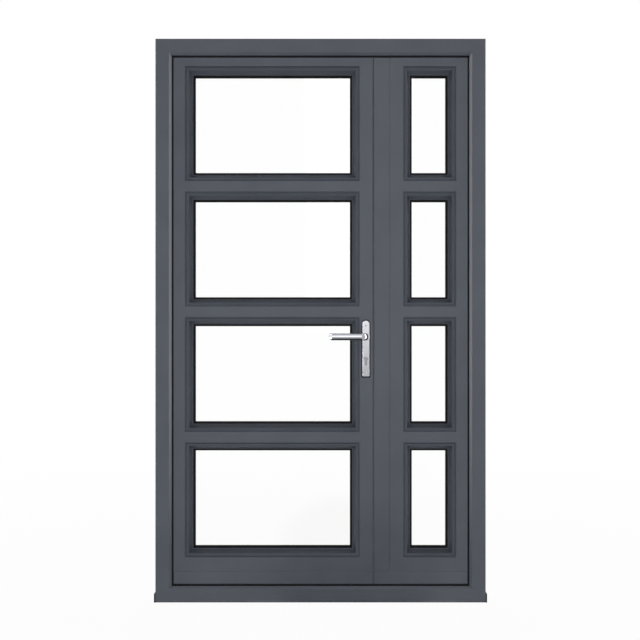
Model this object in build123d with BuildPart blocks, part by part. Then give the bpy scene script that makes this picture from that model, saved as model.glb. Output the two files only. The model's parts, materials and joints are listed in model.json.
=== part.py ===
from build123d import *
import os

os.makedirs("parts", exist_ok=True)

# Glazed aluminium security door with one wide and one narrow leaf. Both leaves open inwards.
# X runs right as seen from outside, Y runs into the building, Z is up.
# The origin is under the middle of the sill, at the middle of the frame's depth.

# Overall sizes
frame_width = 1260.0
frame_height = 2150.0
frame_depth = 75.0

# Frame bar: a body against the wall and a lip in front of the leaves
frame_face = 61.0
lip_depth = 15.0
lip_cover = 12.0
lip_chamfer = 9.0
frame_edge_radius = 4.0
sill_height = 34.0
sill_drip = 4.0
sill_cap = 5.0
cap_corner = 2.0
fixing_hole_radius = 4.0
fixing_end = 200.0
fixing_count = 4

# Clearances
leaf_gap = 5.0
seal_gap = 0.3
pin_clearance = 0.05
mitre_gap = 0.2
socket_clearance = 0.1
bolt_clearance = 0.3
keep_clearance = 1.5

# Leaf bars: bevelled along their outer edges, with a groove there for the lock and hinge fittings
leaf_depth = 55.0
bar_edge = 0.4
groove_width = 14.0
groove_depth = 5.0
hinge_stile = 61.5
lock_stile = 50.0
meeting_stile = 51.0
top_rail = 50.0
mid_rail = 40.0
bottom_rail = 120.0
pane_rows = 4

# Meeting edges: main_width is measured at the front, and each edge leans back from the other going inwards
main_width = 781.0
meeting_gap = 5.5
main_bevel = 7.5
side_bevel = 3.5
strip_width = 57.5
strip_height = 2.0
strip_groove = 3.0
strip_edge_radius = 1.5
seal_recess = 2.0
seal_depth = 8.0
seal_clearance = 1.0

# Glazing, measured from the front of the leaf inwards
bead_width = 28.0
bead_depth = 31.0
bead_proud = 1.0
quirk_width = 5.0
quirk_depth = 6.0
round_rise = 4.5
round_width = 11.0
round_fall = 2.5
nose_width = 3.0
nose_depth = 27.0
nose_rise = 1.0
inner_bead_bevel = 5.0
gasket_thickness = 3.0
gasket_show = 8.0
glass_thickness = 10.0
glass_edge_gap = 5.0

# Weather gasket of the frame
weather_gasket_hold = 4.0
weather_gasket_show = 5.5
weather_gasket_chamfer = 2.0

# Plinth plates
plinth_height = 47.0
plinth_thickness = 2.0
plinth_chamfer = 1.0
plinth_gap = 1.5
plinth_edge = 1.0

# Hinges
barrel_radius = 9.0
barrel_offset = 10.0
barrel_half = 48.0
pin_radius = 5.0
hinge_plate = 30.0
hinge_plate_thickness = 4.0
hinge_plate_corner = 4.0
hinge_neck = 2.0
hinge_cap = 8.0
hinge_end = 260.0

# Handle set. The backset is the way from the lock stile's front edge to the spindle.
spindle_backset = 26.0
spindle_height = 1014.0
cylinder_drop = 85.0
plate_width = 26.6
plate_length = 215.0
plate_above = 62.0
plate_thickness = 8.0
plate_corner = 2.0
plate_chamfer = 2.0
base_rim = 3.8
base_thickness = 3.0
spindle_size = 8.0
spindle_bore = 8.0
spindle_seat = 15.0
socket_depth = 16.0
journal_radius = 9.0
journal_length = 5.0
neck_clearance = 0.1
collar_radius = 13.3
collar_height = 6.0
collar_gap = 0.4
lever_length = 140.0
lever_height = 26.0
lever_depth = 16.0
lever_stand = 46.0
lever_bend = 12.0
lever_tip_length = 7.0
lever_tip_inset = 5.0
lever_tip_lift = 1.5
cylinder_radius = 8.5
cylinder_web = 10.0
cylinder_tall = 33.0
cylinder_clearance = 0.2
cylinder_proud = 1.0
key_way_width = 2.5
key_way_height = 9.0
key_way_depth = 4.0

# Lock: a long face plate with the latch, the dead bolt and two hooks drawn back behind it, and keeps opposite
lock_plate_width = 20.0
lock_plate_length = 1640.0
lock_plate_thickness = 3.0
bolt_width = 12.0
bolt_depth = 12.0
bolt_sink = 0.5
latch_rise = 30.0
latch_length = 16.0
bolt_drop = 50.0
bolt_length = 34.0
hook_reach = 650.0
hook_length = 70.0
keep_length = 230.0
hook_keep_length = 120.0
keep_depth = 16.0

# Lines that several pieces share
half_width = frame_width / 2
front_y = -frame_depth / 2
inner_y = frame_depth / 2
body_face = frame_face - lip_cover - leaf_gap
lip_x = half_width - frame_face
leaf_front = inner_y - leaf_depth
leaf_edge = half_width - body_face - leaf_gap
leaf_low = body_face + leaf_gap
leaf_high = frame_height - body_face - leaf_gap
leaf_height = leaf_high - leaf_low
main_left = -leaf_edge
main_right = main_left + main_width
side_left = main_right + meeting_gap
side_right = leaf_edge
pivot_x = half_width - body_face - leaf_gap / 2
pivot_y = inner_y + barrel_offset
hinge_heights = [hinge_end, frame_height / 2, frame_height - hinge_end]
fixing_pitch = (frame_height - 2 * fixing_end) / (fixing_count - 1)
fixing_heights = [fixing_end + n * fixing_pitch for n in range(fixing_count)]

# Panes: the openings between the bars, the same four heights on both leaves
pane_height = (leaf_height - top_rail - bottom_rail - (pane_rows - 1) * mid_rail) / pane_rows
pane_pitch = pane_height + mid_rail
pane_centres = [leaf_low + bottom_rail + pane_height / 2 + n * pane_pitch for n in range(pane_rows)]
rail_centres = [z + pane_pitch / 2 for z in pane_centres[:-1]]
main_pane_left = main_left + hinge_stile
main_pane_right = main_right - lock_stile
main_pane_width = main_pane_right - main_pane_left
main_pane_x = (main_pane_left + main_pane_right) / 2
side_pane_left = side_left + strip_width + strip_groove + meeting_stile
side_pane_right = side_right - hinge_stile
side_pane_width = side_pane_right - side_pane_left
side_pane_x = (side_pane_left + side_pane_right) / 2
glass_front = leaf_front + bead_depth + gasket_thickness
glass_back = glass_front + glass_thickness
inner_bead_depth = leaf_depth - bead_depth - glass_thickness - 2 * gasket_thickness

# Handle set and lock
spindle_x = main_right - spindle_backset
plate_low = spindle_height + plate_above - plate_length
plate_front = leaf_front - base_thickness - plate_thickness
cylinder_height = spindle_height - cylinder_drop
bolt_spots = [(latch_rise, latch_length), (-bolt_drop, bolt_length)]
hook_spots = [(hook_reach, hook_length), (-hook_reach, hook_length)]


# The frame: four bars of one section, mitred at the corners, with the jambs standing on the sill.
with BuildPart() as right_jamb:
    with BuildSketch(Plane.XY.offset(sill_height)) as jamb_section:
        with BuildLine():
            Polyline(
                (half_width, front_y),
                (half_width, inner_y),
                (half_width - body_face, inner_y),
                (half_width - body_face, front_y + lip_depth),
                (lip_x, front_y + lip_depth),
                (lip_x, front_y + lip_chamfer),
                (lip_x + lip_chamfer, front_y),
                close=True,
            )
        make_face()
        fillet(jamb_section.vertices().sort_by_distance((half_width, front_y))[0], frame_edge_radius)
    extrude(amount=frame_height - sill_height)
    split(bisect_by=Plane(origin=(half_width, 0, frame_height), z_dir=(1, 0, -1)), keep=Keep.TOP)
    split(bisect_by=Plane(origin=(lip_x, 0, frame_face), z_dir=(1, 0, 1)), keep=Keep.TOP)
    # Screw holes to the wall, hidden in the rebate beside the leaf's edge
    with Locations(*[Plane(origin=(half_width, 0, z), z_dir=(1, 0, 0)) for z in fixing_heights]):
        Hole(fixing_hole_radius)
right_jamb.part.label = "right_jamb"
export_step(right_jamb.part, "parts/right_jamb.step")

with BuildPart() as left_jamb:
    mirror(right_jamb.part, about=Plane.YZ)
left_jamb.part.label = "left_jamb"
export_step(left_jamb.part, "parts/left_jamb.step")

with BuildPart() as head:
    with BuildSketch(Plane.YZ) as head_section:
        with BuildLine():
            Polyline(
                (front_y, frame_height),
                (inner_y, frame_height),
                (inner_y, frame_height - body_face),
                (front_y + lip_depth, frame_height - body_face),
                (front_y + lip_depth, frame_height - frame_face),
                (front_y + lip_chamfer, frame_height - frame_face),
                (front_y, frame_height - frame_face + lip_chamfer),
                close=True,
            )
        make_face()
        fillet(head_section.vertices().sort_by_distance((0, front_y, frame_height))[0], frame_edge_radius)
    extrude(amount=half_width, both=True)
    split(bisect_by=Plane(origin=(half_width, 0, frame_height), z_dir=(-1, 0, 1)), keep=Keep.TOP)
    split(bisect_by=Plane(origin=(-half_width, 0, frame_height), z_dir=(1, 0, 1)), keep=Keep.TOP)
head.part.label = "head"
export_step(head.part, "parts/head.step")

with BuildPart() as threshold:
    with BuildSketch(Plane.YZ):
        with BuildLine():
            Polyline(
                (front_y, sill_height),
                (inner_y, sill_height),
                (inner_y, body_face),
                (front_y + lip_depth, body_face),
                (front_y + lip_depth, frame_face),
                (front_y + lip_chamfer, frame_face),
                (front_y, frame_face - lip_chamfer),
                close=True,
            )
        make_face()
    extrude(amount=half_width, both=True)
    split(bisect_by=Plane(origin=(lip_x, 0, frame_face), z_dir=(-1, 0, -1)), keep=Keep.TOP)
    split(bisect_by=Plane(origin=(-lip_x, 0, frame_face), z_dir=(1, 0, -1)), keep=Keep.TOP)
threshold.part.label = "threshold"
export_step(threshold.part, "parts/threshold.step")

# The sill carries the jambs and the threshold. Its front foot has a small drip step.
with BuildPart() as sill:
    with BuildSketch(Plane.YZ):
        with BuildLine():
            Polyline(
                (front_y, sill_height),
                (front_y, 2 * sill_drip),
                (front_y + sill_drip, sill_drip),
                (front_y + sill_drip, 0),
                (inner_y, 0),
                (inner_y, sill_height),
                close=True,
            )
        make_face()
    extrude(amount=half_width, both=True)
sill.part.label = "sill"
export_step(sill.part, "parts/sill.step")

# End caps close the sill's two ends.
with BuildPart() as sill_end_caps:
    with BuildSketch(Plane.YZ.offset(half_width)) as cap_section:
        with Locations((0, sill_height / 2)):
            Rectangle(frame_depth, sill_height)
        chamfer(cap_section.vertices(), cap_corner)
    extrude(amount=sill_cap)
    mirror(about=Plane.YZ)
sill_end_caps.part.label = "sill_end_caps"
export_step(sill_end_caps.part, "parts/sill_end_caps.step")

# The weather gasket sits behind the lip and shows as a black line round the leaves.
gasket_outer = lip_x + weather_gasket_hold
gasket_inner = lip_x - weather_gasket_show
gasket_low = frame_face - weather_gasket_hold
gasket_high = frame_height - gasket_low
show_low = frame_face + weather_gasket_show
show_high = frame_height - show_low
with BuildPart() as weather_gasket:
    with BuildSketch(Plane.XZ.offset(-(front_y + lip_depth))):
        with Locations((0, (gasket_low + gasket_high) / 2)):
            Rectangle(2 * gasket_outer, gasket_high - gasket_low)
        with Locations((0, (show_low + show_high) / 2)):
            Rectangle(2 * gasket_inner, show_high - show_low, mode=Mode.SUBTRACT)
    extrude(amount=-(leaf_front - seal_gap - front_y - lip_depth))
    chamfer(weather_gasket.faces().sort_by(Axis.Y)[0].inner_wires()[0].edges(), weather_gasket_chamfer)
weather_gasket.part.label = "weather_gasket"
export_step(weather_gasket.part, "parts/weather_gasket.step")


# Hinges, three a leaf, on the inside. The frame half has the lower barrel and the pin.
def hinge_frame_half(side):
    """One frame half at height 0. Side is -1 at the left jamb and 1 at the right jamb."""
    plate_x = side * (pivot_x + barrel_radius + hinge_neck + hinge_plate / 2)
    with BuildPart() as half:
        with BuildSketch(Plane.XZ.offset(-inner_y)) as outline:
            with Locations((plate_x, 0)):
                Rectangle(hinge_plate, 2 * barrel_half)
            chamfer(outline.vertices(), hinge_plate_corner)
        extrude(amount=-hinge_plate_thickness)
        with BuildSketch(Plane.XY.offset(-barrel_half)):
            with Locations((side * (pivot_x + barrel_radius), inner_y + hinge_plate_thickness / 2)):
                Rectangle(2 * barrel_radius, hinge_plate_thickness)
            with Locations((side * pivot_x, pivot_y)):
                Circle(barrel_radius)
        extrude(amount=barrel_half - seal_gap)
        with BuildSketch(Plane.XY.offset(-barrel_half)):
            with Locations((side * pivot_x, pivot_y)):
                Circle(pin_radius)
        extrude(amount=2 * barrel_half - hinge_cap)
    return half.part


def hinge_leaf_half(side):
    """One leaf half at height 0, with the upper barrel and its blind bore."""
    plate_x = side * (pivot_x - barrel_radius - hinge_neck - hinge_plate / 2)
    with BuildPart() as half:
        with BuildSketch(Plane.XZ.offset(-inner_y)) as outline:
            with Locations((plate_x, 0)):
                Rectangle(hinge_plate, 2 * barrel_half)
            chamfer(outline.vertices(), hinge_plate_corner)
        extrude(amount=-hinge_plate_thickness)
        with BuildSketch(Plane.XY):
            with Locations((side * (pivot_x - barrel_radius), inner_y + hinge_plate_thickness / 2)):
                Rectangle(2 * barrel_radius, hinge_plate_thickness)
            with Locations((side * pivot_x, pivot_y)):
                Circle(barrel_radius)
        extrude(amount=barrel_half)
        with BuildSketch(Plane.XY):
            with Locations((side * pivot_x, pivot_y)):
                Circle(pin_radius + pin_clearance)
        extrude(amount=barrel_half - hinge_cap + seal_gap, mode=Mode.SUBTRACT)
    return half.part


hinge_spots = [(0, 0, z) for z in hinge_heights]

with BuildPart() as main_hinge_frame_halves:
    with Locations(*hinge_spots):
        add(hinge_frame_half(-1))
main_hinge_frame_halves.part.label = "main_hinge_frame_halves"
export_step(main_hinge_frame_halves.part, "parts/main_hinge_frame_halves.step")

with BuildPart() as side_hinge_frame_halves:
    with Locations(*hinge_spots):
        add(hinge_frame_half(1))
side_hinge_frame_halves.part.label = "side_hinge_frame_halves"
export_step(side_hinge_frame_halves.part, "parts/side_hinge_frame_halves.step")

with BuildPart() as main_hinge_leaf_halves:
    with Locations(*hinge_spots):
        add(hinge_leaf_half(-1))
main_hinge_leaf_halves.part.label = "main_hinge_leaf_halves"
export_step(main_hinge_leaf_halves.part, "parts/main_hinge_leaf_halves.step")

with BuildPart() as side_hinge_leaf_halves:
    with Locations(*hinge_spots):
        add(hinge_leaf_half(1))
side_hinge_leaf_halves.part.label = "side_hinge_leaf_halves"
export_step(side_hinge_leaf_halves.part, "parts/side_hinge_leaf_halves.step")


# Outlines that the handle set and the lock share with the bars they are let into.
def cylinder_face(clearance):
    """Outline of a profile cylinder, grown by clearance, about its barrel's axis."""
    foot = cylinder_tall - cylinder_radius - cylinder_web / 2
    with BuildSketch() as outline:
        Circle(cylinder_radius + clearance)
        with Locations((0, -foot / 2)):
            Rectangle(cylinder_web + 2 * clearance, foot)
        with Locations((0, -foot)):
            Circle(cylinder_web / 2 + clearance)
    return outline.sketch


def bolt_faces(spots, clearance):
    """Outlines of bolts on a meeting edge, grown by clearance, at their heights from the spindle."""
    with BuildSketch() as outlines:
        for rise, length in spots:
            with Locations((0, rise)):
                Rectangle(bolt_width + 2 * clearance, length + 2 * clearance)
    return outlines.sketch


def keep_faces():
    """Outlines of the keep plate and the two hook keeps on the side leaf's meeting edge."""
    with BuildSketch() as outlines:
        Rectangle(lock_plate_width, keep_length)
        with Locations(*[(0, rise) for rise, length in hook_spots]):
            Rectangle(lock_plate_width, hook_keep_length)
    return outlines.sketch


# Leaf bars: stiles run the full height, rails fit between them.
def bar_face(width):
    """Section of a leaf bar: x runs from its outer edge to the pane, y from the leaf's front inwards."""
    with BuildSketch() as section:
        with Locations((width / 2, leaf_depth / 2)):
            Rectangle(width, leaf_depth)
        chamfer(section.vertices().group_by(Axis.X)[0], bar_edge)
        with Locations((0, leaf_depth / 2)):
            Rectangle(2 * groove_depth, groove_width, mode=Mode.SUBTRACT)
    return section.sketch


leaf_mid_y = (leaf_front + inner_y) / 2

with BuildPart() as main_hinge_stile:
    with BuildSketch(Plane(origin=(main_left, leaf_front, leaf_low), x_dir=(1, 0, 0), z_dir=(0, 0, 1))):
        add(bar_face(hinge_stile))
    extrude(amount=leaf_height)
main_hinge_stile.part.label = "main_hinge_stile"
export_step(main_hinge_stile.part, "parts/main_hinge_stile.step")

# The two meeting edges are bevelled, so that each leaf swings clear of the other.
main_edge = Plane(
    origin=(main_right - main_bevel / 2, leaf_mid_y, spindle_height),
    x_dir=(-main_bevel, leaf_depth, 0),
    z_dir=(leaf_depth, main_bevel, 0),
)
side_edge = Plane(
    origin=(side_left + side_bevel / 2, leaf_mid_y, spindle_height),
    x_dir=(-side_bevel, -leaf_depth, 0),
    z_dir=(-leaf_depth, side_bevel, 0),
)

with BuildPart() as main_lock_stile:
    with BuildSketch(Plane.XY.offset(leaf_low)) as lock_section:
        with BuildLine():
            Polyline(
                (main_pane_right, leaf_front),
                (main_right, leaf_front),
                (main_right - main_bevel, inner_y),
                (main_pane_right, inner_y),
                close=True,
            )
        make_face()
        chamfer(lock_section.vertices().sort_by(Axis.X)[-2:], bar_edge)
    extrude(amount=leaf_height)
    # Seat of the lock's face plate, and the pockets that the bolts draw back into
    with BuildSketch(main_edge):
        Rectangle(lock_plate_width, lock_plate_length)
    extrude(amount=-lock_plate_thickness, mode=Mode.SUBTRACT)
    with BuildSketch(main_edge):
        add(bolt_faces(bolt_spots + hook_spots, bolt_clearance))
    extrude(amount=-lock_plate_thickness - bolt_depth, mode=Mode.SUBTRACT)
    # Way for the spindle and the lock cylinder
    with BuildSketch(Plane.XZ):
        with Locations((spindle_x, spindle_height)):
            Circle(spindle_bore)
        with Locations((spindle_x, cylinder_height)):
            add(cylinder_face(cylinder_clearance))
    extrude(amount=frame_depth, both=True, mode=Mode.SUBTRACT)
main_lock_stile.part.label = "main_lock_stile"
export_step(main_lock_stile.part, "parts/main_lock_stile.step")


def top_rail_bar(pane_left, pane_width):
    """A top rail between two stiles, with its grooved edge up."""
    with BuildPart() as bar:
        with BuildSketch(Plane(origin=(pane_left, leaf_front, leaf_high), x_dir=(0, 0, -1), z_dir=(1, 0, 0))):
            add(bar_face(top_rail))
        extrude(amount=pane_width)
    return bar.part


def mid_rail_bars(pane_left, pane_width):
    """The middle rails between two stiles."""
    with BuildPart() as bars:
        with BuildSketch(Plane.YZ.offset(pane_left)):
            with Locations(*[(leaf_mid_y, z) for z in rail_centres]):
                Rectangle(leaf_depth, mid_rail)
        extrude(amount=pane_width)
    return bars.part


def bottom_rail_bar(pane_right, pane_width):
    """A bottom rail between two stiles, with its grooved edge down."""
    with BuildPart() as bar:
        with BuildSketch(Plane(origin=(pane_right, leaf_front, leaf_low), x_dir=(0, 0, 1), z_dir=(-1, 0, 0))):
            add(bar_face(bottom_rail))
        extrude(amount=pane_width)
    return bar.part


with BuildPart() as main_top_rail:
    add(top_rail_bar(main_pane_left, main_pane_width))
main_top_rail.part.label = "main_top_rail"
export_step(main_top_rail.part, "parts/main_top_rail.step")

with BuildPart() as main_mid_rails:
    add(mid_rail_bars(main_pane_left, main_pane_width))
main_mid_rails.part.label = "main_mid_rails"
export_step(main_mid_rails.part, "parts/main_mid_rails.step")

with BuildPart() as main_bottom_rail:
    add(bottom_rail_bar(main_pane_right, main_pane_width))
main_bottom_rail.part.label = "main_bottom_rail"
export_step(main_bottom_rail.part, "parts/main_bottom_rail.step")

# Side leaf bars. The meeting stile carries the cover strip, with a groove beside it.
with BuildPart() as side_meeting_stile:
    with BuildSketch(Plane.XY.offset(leaf_low)) as meeting_section:
        with BuildLine():
            Polyline(
                (side_left, leaf_front),
                (side_left + side_bevel, inner_y),
                (side_pane_left, inner_y),
                (side_pane_left, leaf_front),
                close=True,
            )
        make_face()
        chamfer(meeting_section.vertices().sort_by(Axis.X)[:2], bar_edge)
        with Locations((side_left + strip_width + strip_groove / 2, leaf_front)):
            Rectangle(strip_groove, 2 * strip_groove, mode=Mode.SUBTRACT)
    extrude(amount=leaf_height)
    # Seats of the keeps, and the pockets behind them
    with BuildSketch(side_edge):
        add(keep_faces())
    extrude(amount=-lock_plate_thickness, mode=Mode.SUBTRACT)
    with BuildSketch(side_edge):
        add(bolt_faces(bolt_spots + hook_spots, keep_clearance))
    extrude(amount=-lock_plate_thickness - keep_depth, mode=Mode.SUBTRACT)
side_meeting_stile.part.label = "side_meeting_stile"
export_step(side_meeting_stile.part, "parts/side_meeting_stile.step")

with BuildPart() as side_hinge_stile:
    with BuildSketch(Plane(origin=(side_right, leaf_front, leaf_high), x_dir=(-1, 0, 0), z_dir=(0, 0, -1))):
        add(bar_face(hinge_stile))
    extrude(amount=leaf_height)
side_hinge_stile.part.label = "side_hinge_stile"
export_step(side_hinge_stile.part, "parts/side_hinge_stile.step")

with BuildPart() as side_top_rail:
    add(top_rail_bar(side_pane_left, side_pane_width))
side_top_rail.part.label = "side_top_rail"
export_step(side_top_rail.part, "parts/side_top_rail.step")

with BuildPart() as side_mid_rails:
    add(mid_rail_bars(side_pane_left, side_pane_width))
side_mid_rails.part.label = "side_mid_rails"
export_step(side_mid_rails.part, "parts/side_mid_rails.step")

with BuildPart() as side_bottom_rail:
    add(bottom_rail_bar(side_pane_right, side_pane_width))
side_bottom_rail.part.label = "side_bottom_rail"
export_step(side_bottom_rail.part, "parts/side_bottom_rail.step")

# Plinth plates at the foot of each leaf, clear of the weather gasket.
plinth_low = show_low + plinth_gap
plinth_outer = gasket_inner - plinth_gap
with BuildPart() as main_plinth:
    with BuildSketch(Plane.XZ.offset(-leaf_front)):
        with Locations(((-plinth_outer + main_right - plinth_edge) / 2, plinth_low + plinth_height / 2)):
            Rectangle(plinth_outer + main_right - plinth_edge, plinth_height)
    extrude(amount=plinth_thickness)
    chamfer(main_plinth.faces().sort_by(Axis.Y)[0].edges(), plinth_chamfer)
main_plinth.part.label = "main_plinth"
export_step(main_plinth.part, "parts/main_plinth.step")

with BuildPart() as side_plinth:
    with BuildSketch(Plane.XZ.offset(-leaf_front)):
        with Locations(((plinth_outer + side_left + plinth_edge) / 2, plinth_low + plinth_height / 2)):
            Rectangle(plinth_outer - side_left - plinth_edge, plinth_height)
    extrude(amount=plinth_thickness)
    chamfer(side_plinth.faces().sort_by(Axis.Y)[0].edges(), plinth_chamfer)
side_plinth.part.label = "side_plinth"
export_step(side_plinth.part, "parts/side_plinth.step")

# The cover strip stands on the meeting stile, from the plinth up to the weather gasket.
strip_low = plinth_low + plinth_height + plinth_gap
strip_high = show_high - plinth_gap
with BuildPart() as meeting_strip:
    with BuildSketch(Plane.XZ.offset(-leaf_front)):
        with Locations((side_left + strip_width / 2, (strip_low + strip_high) / 2)):
            Rectangle(strip_width, strip_high - strip_low)
    extrude(amount=strip_height)
    fillet(meeting_strip.faces().sort_by(Axis.Y)[0].edges().filter_by(Axis.Z), strip_edge_radius)
meeting_strip.part.label = "meeting_strip"
export_step(meeting_strip.part, "parts/meeting_strip.step")

# The meeting seal on the side leaf's edge closes the gap to a hairline.
seal_front = leaf_front + seal_recess
seal_back = seal_front + seal_depth
with BuildPart() as meeting_seal:
    with BuildSketch(Plane.XY.offset(leaf_low)):
        with BuildLine():
            Polyline(
                (side_left + side_bevel * seal_recess / leaf_depth, seal_front),
                (side_left + side_bevel * (seal_recess + seal_depth) / leaf_depth, seal_back),
                (main_right + seal_clearance, seal_back),
                (main_right + seal_clearance, seal_front),
                close=True,
            )
        make_face()
    extrude(amount=leaf_height)
meeting_seal.part.label = "meeting_seal"
export_step(meeting_seal.part, "parts/meeting_seal.step")


# Glazing beads: a moulded bar on each side of a pane, mitred at the corners with a hairline gap.
def outer_bead_face():
    """Section of a moulded bead: x is the way in from the bar, y is the depth from the leaf's front."""
    round_end = quirk_width + round_width
    round_middle = (quirk_width + round_end) / 2
    with BuildSketch() as section:
        with BuildLine():
            quirk = Polyline(
                (0, bead_depth),
                (0, quirk_depth),
                (quirk_width, quirk_depth),
                (quirk_width, quirk_depth - round_rise),
            )
            round_top = ThreePointArc(quirk @ 1, (round_middle, -bead_proud), (round_end, round_fall))
            Polyline(
                round_top @ 1,
                (bead_width - nose_width, nose_depth - nose_rise),
                (bead_width, nose_depth),
                (bead_width, bead_depth),
                (0, bead_depth),
            )
        make_face()
    return section.sketch


def inner_bead_face():
    """Section of a plain inner bead: x is the way in from the bar, y is the depth from the inner face."""
    with BuildSketch() as section:
        with Locations((bead_width / 2, inner_bead_depth / 2)):
            Rectangle(bead_width, inner_bead_depth)
        chamfer(section.vertices().sort_by_distance((bead_width, 0))[0], inner_bead_bevel)
    return section.sketch


def bead_bar(section, length, reach):
    """One bar of a bead along X, mitred at both ends, reach below the pane's middle."""
    with BuildPart() as bar:
        with BuildSketch(Plane(origin=(0, 0, -reach), x_dir=(0, 0, 1), z_dir=(-1, 0, 0))):
            add(section)
        extrude(amount=length / 2, both=True)
        for end in (-1, 1):
            mitre = Plane(origin=(end * (length / 2 - mitre_gap / 2), 0, -reach), z_dir=(-end, 0, -1))
            split(bisect_by=mitre, keep=Keep.TOP)
    return bar.part


def bead_ring(section, width, height):
    """The four bars round one pane, in the plane y = 0, with the pane's middle at the origin."""
    level = bead_bar(section, width, height / 2)
    upright = bead_bar(section, height, width / 2)
    with BuildPart() as ring:
        add(level)
        add(Rotation(0, 90, 0) * upright)
        add(mirror(level, about=Plane.XY, mode=Mode.PRIVATE))
        add(mirror(Rotation(0, 90, 0) * upright, about=Plane.YZ, mode=Mode.PRIVATE))
    return ring.part


main_spots = [(main_pane_x, leaf_front, z) for z in pane_centres]
side_spots = [(side_pane_x, leaf_front, z) for z in pane_centres]

with BuildPart() as main_outer_beads:
    with Locations(*main_spots):
        add(bead_ring(outer_bead_face(), main_pane_width, pane_height))
main_outer_beads.part.label = "main_outer_beads"
export_step(main_outer_beads.part, "parts/main_outer_beads.step")

with BuildPart() as side_outer_beads:
    with Locations(*side_spots):
        add(bead_ring(outer_bead_face(), side_pane_width, pane_height))
side_outer_beads.part.label = "side_outer_beads"
export_step(side_outer_beads.part, "parts/side_outer_beads.step")

inner_main_ring = mirror(bead_ring(inner_bead_face(), main_pane_width, pane_height), about=Plane.XZ)
inner_side_ring = mirror(bead_ring(inner_bead_face(), side_pane_width, pane_height), about=Plane.XZ)

with BuildPart() as main_inner_beads:
    with Locations(*[(x, inner_y, z) for x, y, z in main_spots]):
        add(inner_main_ring)
main_inner_beads.part.label = "main_inner_beads"
export_step(main_inner_beads.part, "parts/main_inner_beads.step")

with BuildPart() as side_inner_beads:
    with Locations(*[(x, inner_y, z) for x, y, z in side_spots]):
        add(inner_side_ring)
side_inner_beads.part.label = "side_inner_beads"
export_step(side_inner_beads.part, "parts/side_inner_beads.step")


# Panes of laminated glass, held between gaskets that show as a black line beside the beads.
def glass_panes(pane_x, width):
    """The panes of one leaf, one above the other."""
    with BuildPart() as panes:
        with BuildSketch(Plane.XZ.offset(-glass_front)):
            with Locations(*[(pane_x, z) for z in pane_centres]):
                Rectangle(width - 2 * glass_edge_gap, pane_height - 2 * glass_edge_gap)
        extrude(amount=-glass_thickness)
    return panes.part


with BuildPart() as main_glass:
    add(glass_panes(main_pane_x, main_pane_width))
main_glass.part.label = "main_glass"
export_step(main_glass.part, "parts/main_glass.step")

with BuildPart() as side_glass:
    add(glass_panes(side_pane_x, side_pane_width))
side_glass.part.label = "side_glass"
export_step(side_glass.part, "parts/side_glass.step")

gasket_in = bead_width + gasket_show


def glazing_gasket(width):
    """Front and back gasket of one pane, in the leaf's depth, with the pane's middle at x = z = 0."""
    with BuildPart() as pair:
        for near in (glass_front - gasket_thickness, glass_back):
            with BuildSketch(Plane.XZ.offset(-near)):
                Rectangle(width - 2 * glass_edge_gap, pane_height - 2 * glass_edge_gap)
                Rectangle(width - 2 * gasket_in, pane_height - 2 * gasket_in, mode=Mode.SUBTRACT)
            extrude(amount=-gasket_thickness)
    return pair.part


with BuildPart() as main_glazing_gaskets:
    with Locations(*[(main_pane_x, 0, z) for z in pane_centres]):
        add(glazing_gasket(main_pane_width))
main_glazing_gaskets.part.label = "main_glazing_gaskets"
export_step(main_glazing_gaskets.part, "parts/main_glazing_gaskets.step")

with BuildPart() as side_glazing_gaskets:
    with Locations(*[(side_pane_x, 0, z) for z in pane_centres]):
        add(glazing_gasket(side_pane_width))
side_glazing_gaskets.part.label = "side_glazing_gaskets"
export_step(side_glazing_gaskets.part, "parts/side_glazing_gaskets.step")


# Lock parts that show when the leaves are open.
with BuildPart() as lock_face_plate:
    with BuildSketch(main_edge):
        Rectangle(lock_plate_width, lock_plate_length)
        add(bolt_faces(bolt_spots + hook_spots, bolt_clearance), mode=Mode.SUBTRACT)
    extrude(amount=-lock_plate_thickness)
lock_face_plate.part.label = "lock_face_plate"
export_step(lock_face_plate.part, "parts/lock_face_plate.step")

# Latch, dead bolt and hooks, drawn back into their pockets.
with BuildPart() as lock_bolts:
    with BuildSketch(main_edge.offset(-lock_plate_thickness - bolt_depth)):
        add(bolt_faces(bolt_spots + hook_spots, 0))
    extrude(amount=lock_plate_thickness + bolt_depth - bolt_sink)
lock_bolts.part.label = "lock_bolts"
export_step(lock_bolts.part, "parts/lock_bolts.step")

with BuildPart() as keep_plate:
    with BuildSketch(side_edge):
        Rectangle(lock_plate_width, keep_length)
        add(bolt_faces(bolt_spots, keep_clearance), mode=Mode.SUBTRACT)
    extrude(amount=-lock_plate_thickness)
keep_plate.part.label = "keep_plate"
export_step(keep_plate.part, "parts/keep_plate.step")

with BuildPart() as hook_keeps:
    with BuildSketch(side_edge):
        with Locations(*[(0, rise) for rise, length in hook_spots]):
            Rectangle(lock_plate_width, hook_keep_length)
        add(bolt_faces(hook_spots, keep_clearance), mode=Mode.SUBTRACT)
    extrude(amount=-lock_plate_thickness)
hook_keeps.part.label = "hook_keeps"
export_step(hook_keeps.part, "parts/hook_keeps.step")


# Handle set. Plates have an arched top and stand on a dark base that shows as a rim.
def plate_face(rim):
    """Outline of a plate, grown by rim, with the openings for the lever's journal and the lock cylinder."""
    width = plate_width + 2 * rim
    low = plate_low - rim
    high = plate_low + plate_length + rim
    with BuildSketch() as outline:
        with BuildLine():
            foot = Polyline(
                (-width / 2, high - width / 2),
                (-width / 2, low),
                (width / 2, low),
                (width / 2, high - width / 2),
            )
            ThreePointArc(foot @ 1, (0, high), foot @ 0)
        make_face()
        chamfer(outline.vertices().group_by(Axis.Y)[0], plate_corner)
        with Locations((0, spindle_height)):
            Circle(journal_radius + neck_clearance, mode=Mode.SUBTRACT)
        with Locations((0, cylinder_height)):
            add(cylinder_face(cylinder_clearance), mode=Mode.SUBTRACT)
    return outline.sketch


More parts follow.
